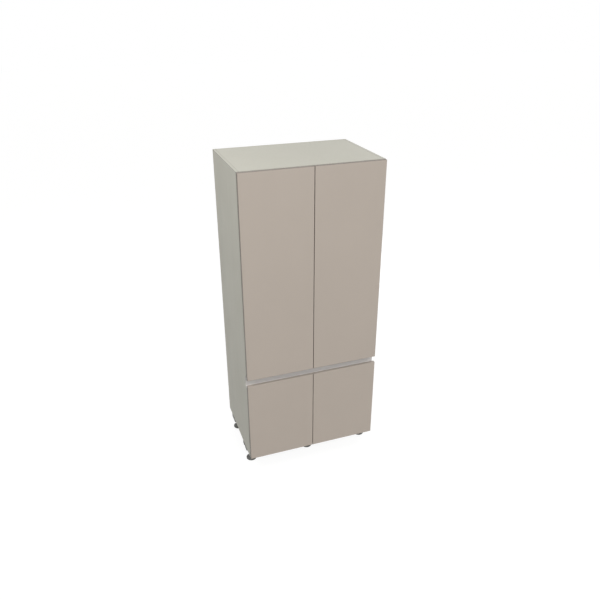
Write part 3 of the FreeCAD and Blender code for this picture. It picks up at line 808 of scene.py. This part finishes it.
class HOUSING_OT_sockets(bpy.types.Operator):
    """Models the leg socket with its flange, bosses, ribs and screws, and stands one at each leg"""
    bl_idname = "housing.sockets"
    bl_label = "Leg sockets"

    def execute(self, context):
        rib = context.scene.housing_sizes.socket_wall_rib
        screw = cross_screw("socket_screw_master", context.scene.housing_sizes.screw_head / 2, 0.0018)
        masters = {row: self.socket(row, rib) for row in SOCKET_BOSSES}
        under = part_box("bottom_panel")[0].z
        sockets, screws = [], []
        for node in FOOT_NODES:
            low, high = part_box(node)
            middle = (low + high) / 2
            place = (middle.x, middle.y, under)
            row = node.split("_")[1]
            sockets.append(stand(masters[row], f"{node}_socket", place))
            sign = 1 if row == "front" else -1
            for along in SOCKET_SCREWS:
                spot = Vector(place) + Vector((0, sign * along, -SOCKET_FLANGE))
                screws.append(stand(screw, "socket_screw", spot, Matrix.Rotation(math.pi, 4, "X")))
        fit_out(join("leg_socket_mouldings", sockets), "carcass", "leg_plastic", replaces=["leg_sockets"])
        fit_out(join("leg_socket_screws", screws), "carcass", "clip_steel")
        drop(screw, *masters.values())
        return {"FINISHED"}

    def socket(self, row, rib):
        """One socket hanging from the origin, with its bosses as they lie in the front or the back row."""
        half, radius, depth = SOCKET_WIDTH / 2, SOCKET_RADIUS, SOCKET_DEPTH
        near, far = SOCKET_PLATES[row]
        plate = slab("socket_plate", (-half, near, -SOCKET_FLANGE), (half, far, 0), 0.012)
        tube = turned("socket_tube", [
            (SOCKET_BORE, -0.004), (SOCKET_BORE, -depth + 0.001), (SOCKET_BORE + 0.001, -depth),
            (radius - 0.0015, -depth), (radius, -depth + 0.0015), (radius, -0.002),
        ], 48)
        pieces = [plate, tube]
        for start, end in SOCKET_BOSSES[row]:
            for sign in (-1, 1):
                sides = sorted((sign * half, sign * (half - SOCKET_BOSS_WIDTH)))
                boss = slab("socket_boss", (sides[0], start, -SOCKET_BOSS), (sides[1], end, -0.001), 0.004)
                pieces.append(boss)
        low, high = (radius - 0.001, -rib / 2, -depth + 0.006), (radius + 2 * rib, rib / 2, -0.004)
        for number in range(SOCKET_RIBS):
            fin = slab("socket_rib", low, high, 0.0004)
            fin.data.transform(Matrix.Rotation(number * 2 * math.pi / SOCKET_RIBS, 4, "Z"))
            pieces.append(fin)
        made = join("socket_master", pieces)
        soften(made, 0.0008)
        smooth(made, 30)
        return made


class HOUSING_OT_supports(bpy.types.Operator):
    """Models one moulded shelf support and stands a copy under each corner of the shelves"""
    bl_idname = "housing.supports"
    bl_label = "Shelf supports"

    def execute(self, context):
        boxes = copies_of("shelf_supports", 0.003)
        low, high = boxes[0]
        reach, width, height = high - low
        master = slab("support_master", (0, -width / 2, -height), (reach, width / 2, 0))
        choose(master, "FACE", lambda face: face.normal.z < -0.9)
        bpy.ops.transform.resize(value=(1 / 3, 1, 1), center_override=(0, 0, -height))
        choose(master, "EDGE", lambda edge: outer_edge(master, edge, reach / 5))
        bpy.ops.mesh.bevel(offset=0.0012, segments=3, affect="EDGES")
        choose(master, "FACE", lambda face: face.normal.z > 0.9)
        bpy.ops.mesh.inset(thickness=0.0014, depth=0)
        bpy.ops.mesh.inset(thickness=0.0004, depth=-0.0005)
        bpy.ops.object.mode_set(mode="OBJECT")
        smooth(master, 35)
        pieces = []
        for low, high in boxes:
            at_left = low.x < 0
            spot = (low.x if at_left else high.x, (low.y + high.y) / 2, high.z)
            pieces.append(stand(master, "support", spot, None if at_left else MIRRORED))
        fit_out(join("shelf_support_mouldings", pieces), "carcass", "support_plastic", replaces=["shelf_supports"])
        drop(master)
        return {"FINISHED"}


class HOUSING_OT_bumpers(bpy.types.Operator):
    """Models one domed pad and sets a copy at each place where a door closes on the carcass"""
    bl_idname = "housing.bumpers"
    bl_label = "Door bumpers"

    def execute(self, context):
        boxes = copies_of("door_bumpers", 0.02)
        low, high = boxes[0]
        radius, height = (high.z - low.z) / 2, high.y - low.y
        dome = [(1, 0), (1, 0.3), (0.93, 0.55), (0.8, 0.77), (0.6, 0.92), (0.3, 1)]
        master = turned("pad_master", [(radius * out, height * up) for out, up in dome], 32)
        smooth(master, 60)
        pieces = [
            stand(master, "pad", ((low.x + high.x) / 2, high.y, (low.z + high.z) / 2), FACING_FRONT)
            for low, high in boxes
        ]
        fit_out(join("door_bumper_pads", pieces), "carcass", "bumper_rubber", replaces=["door_bumpers"])
        drop(master)
        return {"FINISHED"}


class HOUSING_OT_links(bpy.types.Operator):
    """Models the long and the short hinge link with round eyes, and hangs a copy at each hinge"""
    bl_idname = "housing.links"
    bl_label = "Hinge links"

    def execute(self, context):
        inner = HINGE_NOSE / 2 + HINGE_GAP
        masters = {
            "long": self.link((CUP_LONG, *LONG_BOW, ARM_LONG), inner, LONG_CUP_PLAY),
            "short": self.link((CUP_SHORT, *SHORT_BOW, ARM_SHORT), -inner - HINGE_PLATE, SHORT_CUP_PLAY),
        }
        for level, side, heights in hinge_sets():
            for kind, master in masters.items():
                pieces = [hang(master, side, height) for height in heights]
                node = f"{level}_{side}_{kind}_links"
                fit_out(join(f"{node}_forged", pieces), body_of(node), "hinge_steel", replaces=[node])
        drop(*masters.values())
        return {"FINISHED"}

    def link(self, path, low, cup_play):
        """A bowed strap of one layer, with a ring round each stud."""
        pieces = []
        for spot, play in ((path[0], cup_play), (path[-1], ARM_PLAY)):
            eye = ring("link_eye", LINK_EYE, HINGE_STUD + play, HINGE_PLATE)
            eye.data.transform(Matrix.Translation((*spot, low)))
            pieces.append(eye)
        clear, overlap, inset = 0.0016, 0.0008, 0.00004
        for number, (start, end) in enumerate(zip(path, path[1:])):
            run = Vector(end) - Vector(start)
            before = -clear if number == 0 else overlap
            after = -clear if number == len(path) - 2 else overlap
            strap = slab(
                "link_strap", (-before, -LINK_HALF_WIDTH, inset),
                (run.length + after, LINK_HALF_WIDTH, HINGE_PLATE - inset),
            )
            turn = Matrix.Rotation(math.atan2(run.y, run.x), 4, "Z")
            strap.data.transform(Matrix.Translation((*start, low)) @ turn)
            pieces.append(strap)
        made = join("link_master", pieces)
        soften(made, 0.0002)
        smooth(made, 30)
        return made


class HOUSING_OT_fittings(bpy.types.Operator):
    """Models the rivet heads and the screws of the hinges and sets them on the arms, plates and cups"""
    bl_idname = "housing.fittings"
    bl_label = "Hinge screws and rivets"

    def execute(self, context):
        screw = cross_screw("hinge_screw_master", context.scene.housing_sizes.screw_head / 2, 0.0008)
        small = cross_screw("adjusting_screw_master", 0.0028, 0.0008)
        rivet = turned("rivet_master", [(0.0016, 0), (0.0016, 0.0002), (0.0013, 0.0004), (0.0007, 0.0005)], 20)
        smooth(rivet, 60)
        up, down = Matrix.Identity(4), Matrix.Rotation(math.pi, 4, "X")
        inward = Matrix.Rotation(math.pi / 2, 4, "Y")
        slope = Matrix.Rotation(ARM_SLOPE, 4, "Z") @ inward
        stack = HINGE_NOSE / 2 + HINGE_GAP + HINGE_PLATE + HINGE_GAP
        post = stack + 0.0012
        on_carcass = [
            (screw, (0.002, 0.037, 0.016), inward), (screw, (0.002, 0.037, -0.016), inward),
            (small, (0.020, 0.028, 0), inward), (small, (0.0155, 0.049, 0), slope),
            (rivet, (*ARM_LONG, stack - HINGE_GAP), up), (rivet, (*ARM_SHORT, HINGE_GAP - stack), down),
        ]
        on_door = [
            (screw, (0.016, -0.0011, 0.0225), BACKWARD), (screw, (0.016, -0.0011, -0.0225), BACKWARD),
            (rivet, (*CUP_LONG, post), up), (rivet, (*CUP_SHORT, -post), down),
        ]
        for side in ("left", "right"):
            fixed = []
            for level, here, heights in hinge_sets():
                if here != side:
                    continue
                moving = []
                for height in heights:
                    fixed += [hang(master, side, height, spot, turn) for master, spot, turn in on_carcass]
                    moving += [hang(master, side, height, spot, turn) for master, spot, turn in on_door]
                node = f"{level}_{side}_hinge_cups"
                fit_out(join(f"{level}_{side}_cup_fittings", moving), body_of(node), "hinge_steel")
            fit_out(join(f"{side}_arm_fittings", fixed), "carcass", "hinge_steel")
        drop(screw, small, rivet)
        return {"FINISHED"}


class HOUSING_OT_stage(bpy.types.Operator):
    """Lays the floor, hangs the lamps and sets up the camera"""
    bl_idname = "housing.stage"
    bl_label = "Floor, lamps and camera"

    def execute(self, context):
        scene = context.scene
        scene.view_settings.view_transform = "Standard"
        stage = scene.housing_stage
        self.floor(scene)
        self.sky(scene, stage.sky)
        for name, place, target, size in LAMPS:
            self.lamp(name, place, target, size, getattr(stage, name))
        self.camera(scene)
        return {"FINISHED"}

    def floor(self, scene):
        """A wide floor that shows white to the camera but keeps the unit's shadow."""
        clear_choice()
        bpy.ops.mesh.primitive_grid_add(x_subdivisions=8, y_subdivisions=8, size=60, location=(0, 0, 0))
        floor = bpy.context.object
        floor.name = "floor"
        made, shader, surface, place = new_material("pale_floor")
        tint = tuple(scene.housing_colours.floor)
        speckle = shader.noise(place, 40.0, 3.0)
        tone = shader.rescale(speckle, 0.3, 0.7)
        shader.join(shader.blend(tone, shaded(tint, 0.99), tint), surface.inputs["Base Color"])
        surface.inputs["Roughness"].default_value = 0.9
        surface.inputs["Specular IOR Level"].default_value = 0.1
        path = shader.add("ShaderNodeLightPath").outputs
        seen = shader.sums("MAXIMUM", path["Is Camera Ray"], path["Is Glossy Ray"])
        strength = shader.sums("MULTIPLY", seen, scene.housing_stage.glow)
        glow = shader.add("ShaderNodeEmission", {"Color": (1, 1, 1, 1), "Strength": strength})
        both = shader.add("ShaderNodeAddShader", {0: surface.outputs[0], 1: glow.outputs[0]})
        output = made.node_tree.nodes["Material Output"]
        shader.join(both.outputs[0], output.inputs["Surface"])
        floor.data.materials.append(made)
        floor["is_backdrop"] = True

    def sky(self, scene, strength):
        """Even light all round, seen as white."""
        scene.world = scene.world or bpy.data.worlds.new("sky")
        scene.world.use_nodes = True
        tree = scene.world.node_tree
        tree.nodes.clear()
        shader = Shader(tree)
        path = shader.add("ShaderNodeLightPath").outputs
        seen = shader.sums("MAXIMUM", path["Is Camera Ray"], path["Is Glossy Ray"])
        power = shader.rescale(seen, 0.0, 1.0, strength, 1.0)
        light = shader.add("ShaderNodeBackground", {"Color": (1, 1, 1, 1), "Strength": power})
        output = shader.add("ShaderNodeOutputWorld")
        shader.join(light.outputs[0], output.inputs["Surface"])

    def lamp(self, name, place, target, size, power):
        """A square soft lamp aimed at a point."""
        lamp = bpy.data.lights.new(name, "AREA")
        lamp.shape = "SQUARE"
        lamp.size = size
        lamp.energy = power
        hung = bpy.data.objects.new(name, lamp)
        bpy.context.scene.collection.objects.link(hung)
        hung.location = place
        aim = Vector(target) - Vector(place)
        hung.rotation_euler = aim.to_track_quat("-Z", "Y").to_euler()

    def camera(self, scene):
        """The photograph's viewpoint, fitted to the unit's edges."""
        lens = bpy.data.cameras.new("camera")
        lens.sensor_width = 36
        lens.sensor_fit = "HORIZONTAL"
        lens.lens = CAMERA_LENS
        lens.clip_end = 200
        camera = bpy.data.objects.new("camera", lens)
        scene.collection.objects.link(camera)
        down, right, tilt = (math.radians(angle) for angle in CAMERA_TURNS)
        aim = Matrix.Rotation(-right, 4, "Z") @ Matrix.Rotation(math.pi / 2 - down, 4, "X")
        camera.matrix_world = Matrix.Translation(CAMERA_PLACE) @ aim @ Matrix.Rotation(-tilt, 4, "Z")
        scene.camera = camera


class HOUSING_PT_panel(bpy.types.Panel):
    """Lists the steps that dress the housing"""
    bl_idname = "HOUSING_PT_panel"
    bl_label = "Tall housing"
    bl_space_type = "VIEW_3D"
    bl_region_type = "UI"
    bl_category = "Housing"

    def draw(self, context):
        for step in STEPS:
            self.layout.operator(step.bl_idname)
        for settings in (
            context.scene.housing_colours, context.scene.housing_sizes, context.scene.housing_stage,
        ):
            for name in settings.__annotations__:
                self.layout.prop(settings, name)


STEPS = (
    HOUSING_OT_boards,
    HOUSING_OT_feet,
    HOUSING_OT_sockets,
    HOUSING_OT_supports,
    HOUSING_OT_bumpers,
    HOUSING_OT_links,
    HOUSING_OT_fittings,
    HOUSING_OT_stage,
)
SETTINGS = {
    "housing_colours": HousingColours,
    "housing_sizes": HousingSizes,
    "housing_stage": HousingStage,
}


def register():
    for made in (*SETTINGS.values(), *STEPS, HOUSING_PT_panel):
        bpy.utils.register_class(made)
    for name, made in SETTINGS.items():
        setattr(bpy.types.Scene, name, bpy.props.PointerProperty(type=made))


def unregister():
    for name in SETTINGS:
        delattr(bpy.types.Scene, name)
    for made in reversed((*SETTINGS.values(), *STEPS, HOUSING_PT_panel)):
        bpy.utils.unregister_class(made)


def main():
    """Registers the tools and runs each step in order."""
    register()
    for step in STEPS:
        area, name = step.bl_idname.split(".")
        getattr(getattr(bpy.ops, area), name)()
    clear_choice()
    boxes = {"cad": CAD_BOX, "visual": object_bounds()}
    plain = {name: [list(corner) for corner in box] for name, box in boxes.items()}


if __name__ == "__main__":
    main()
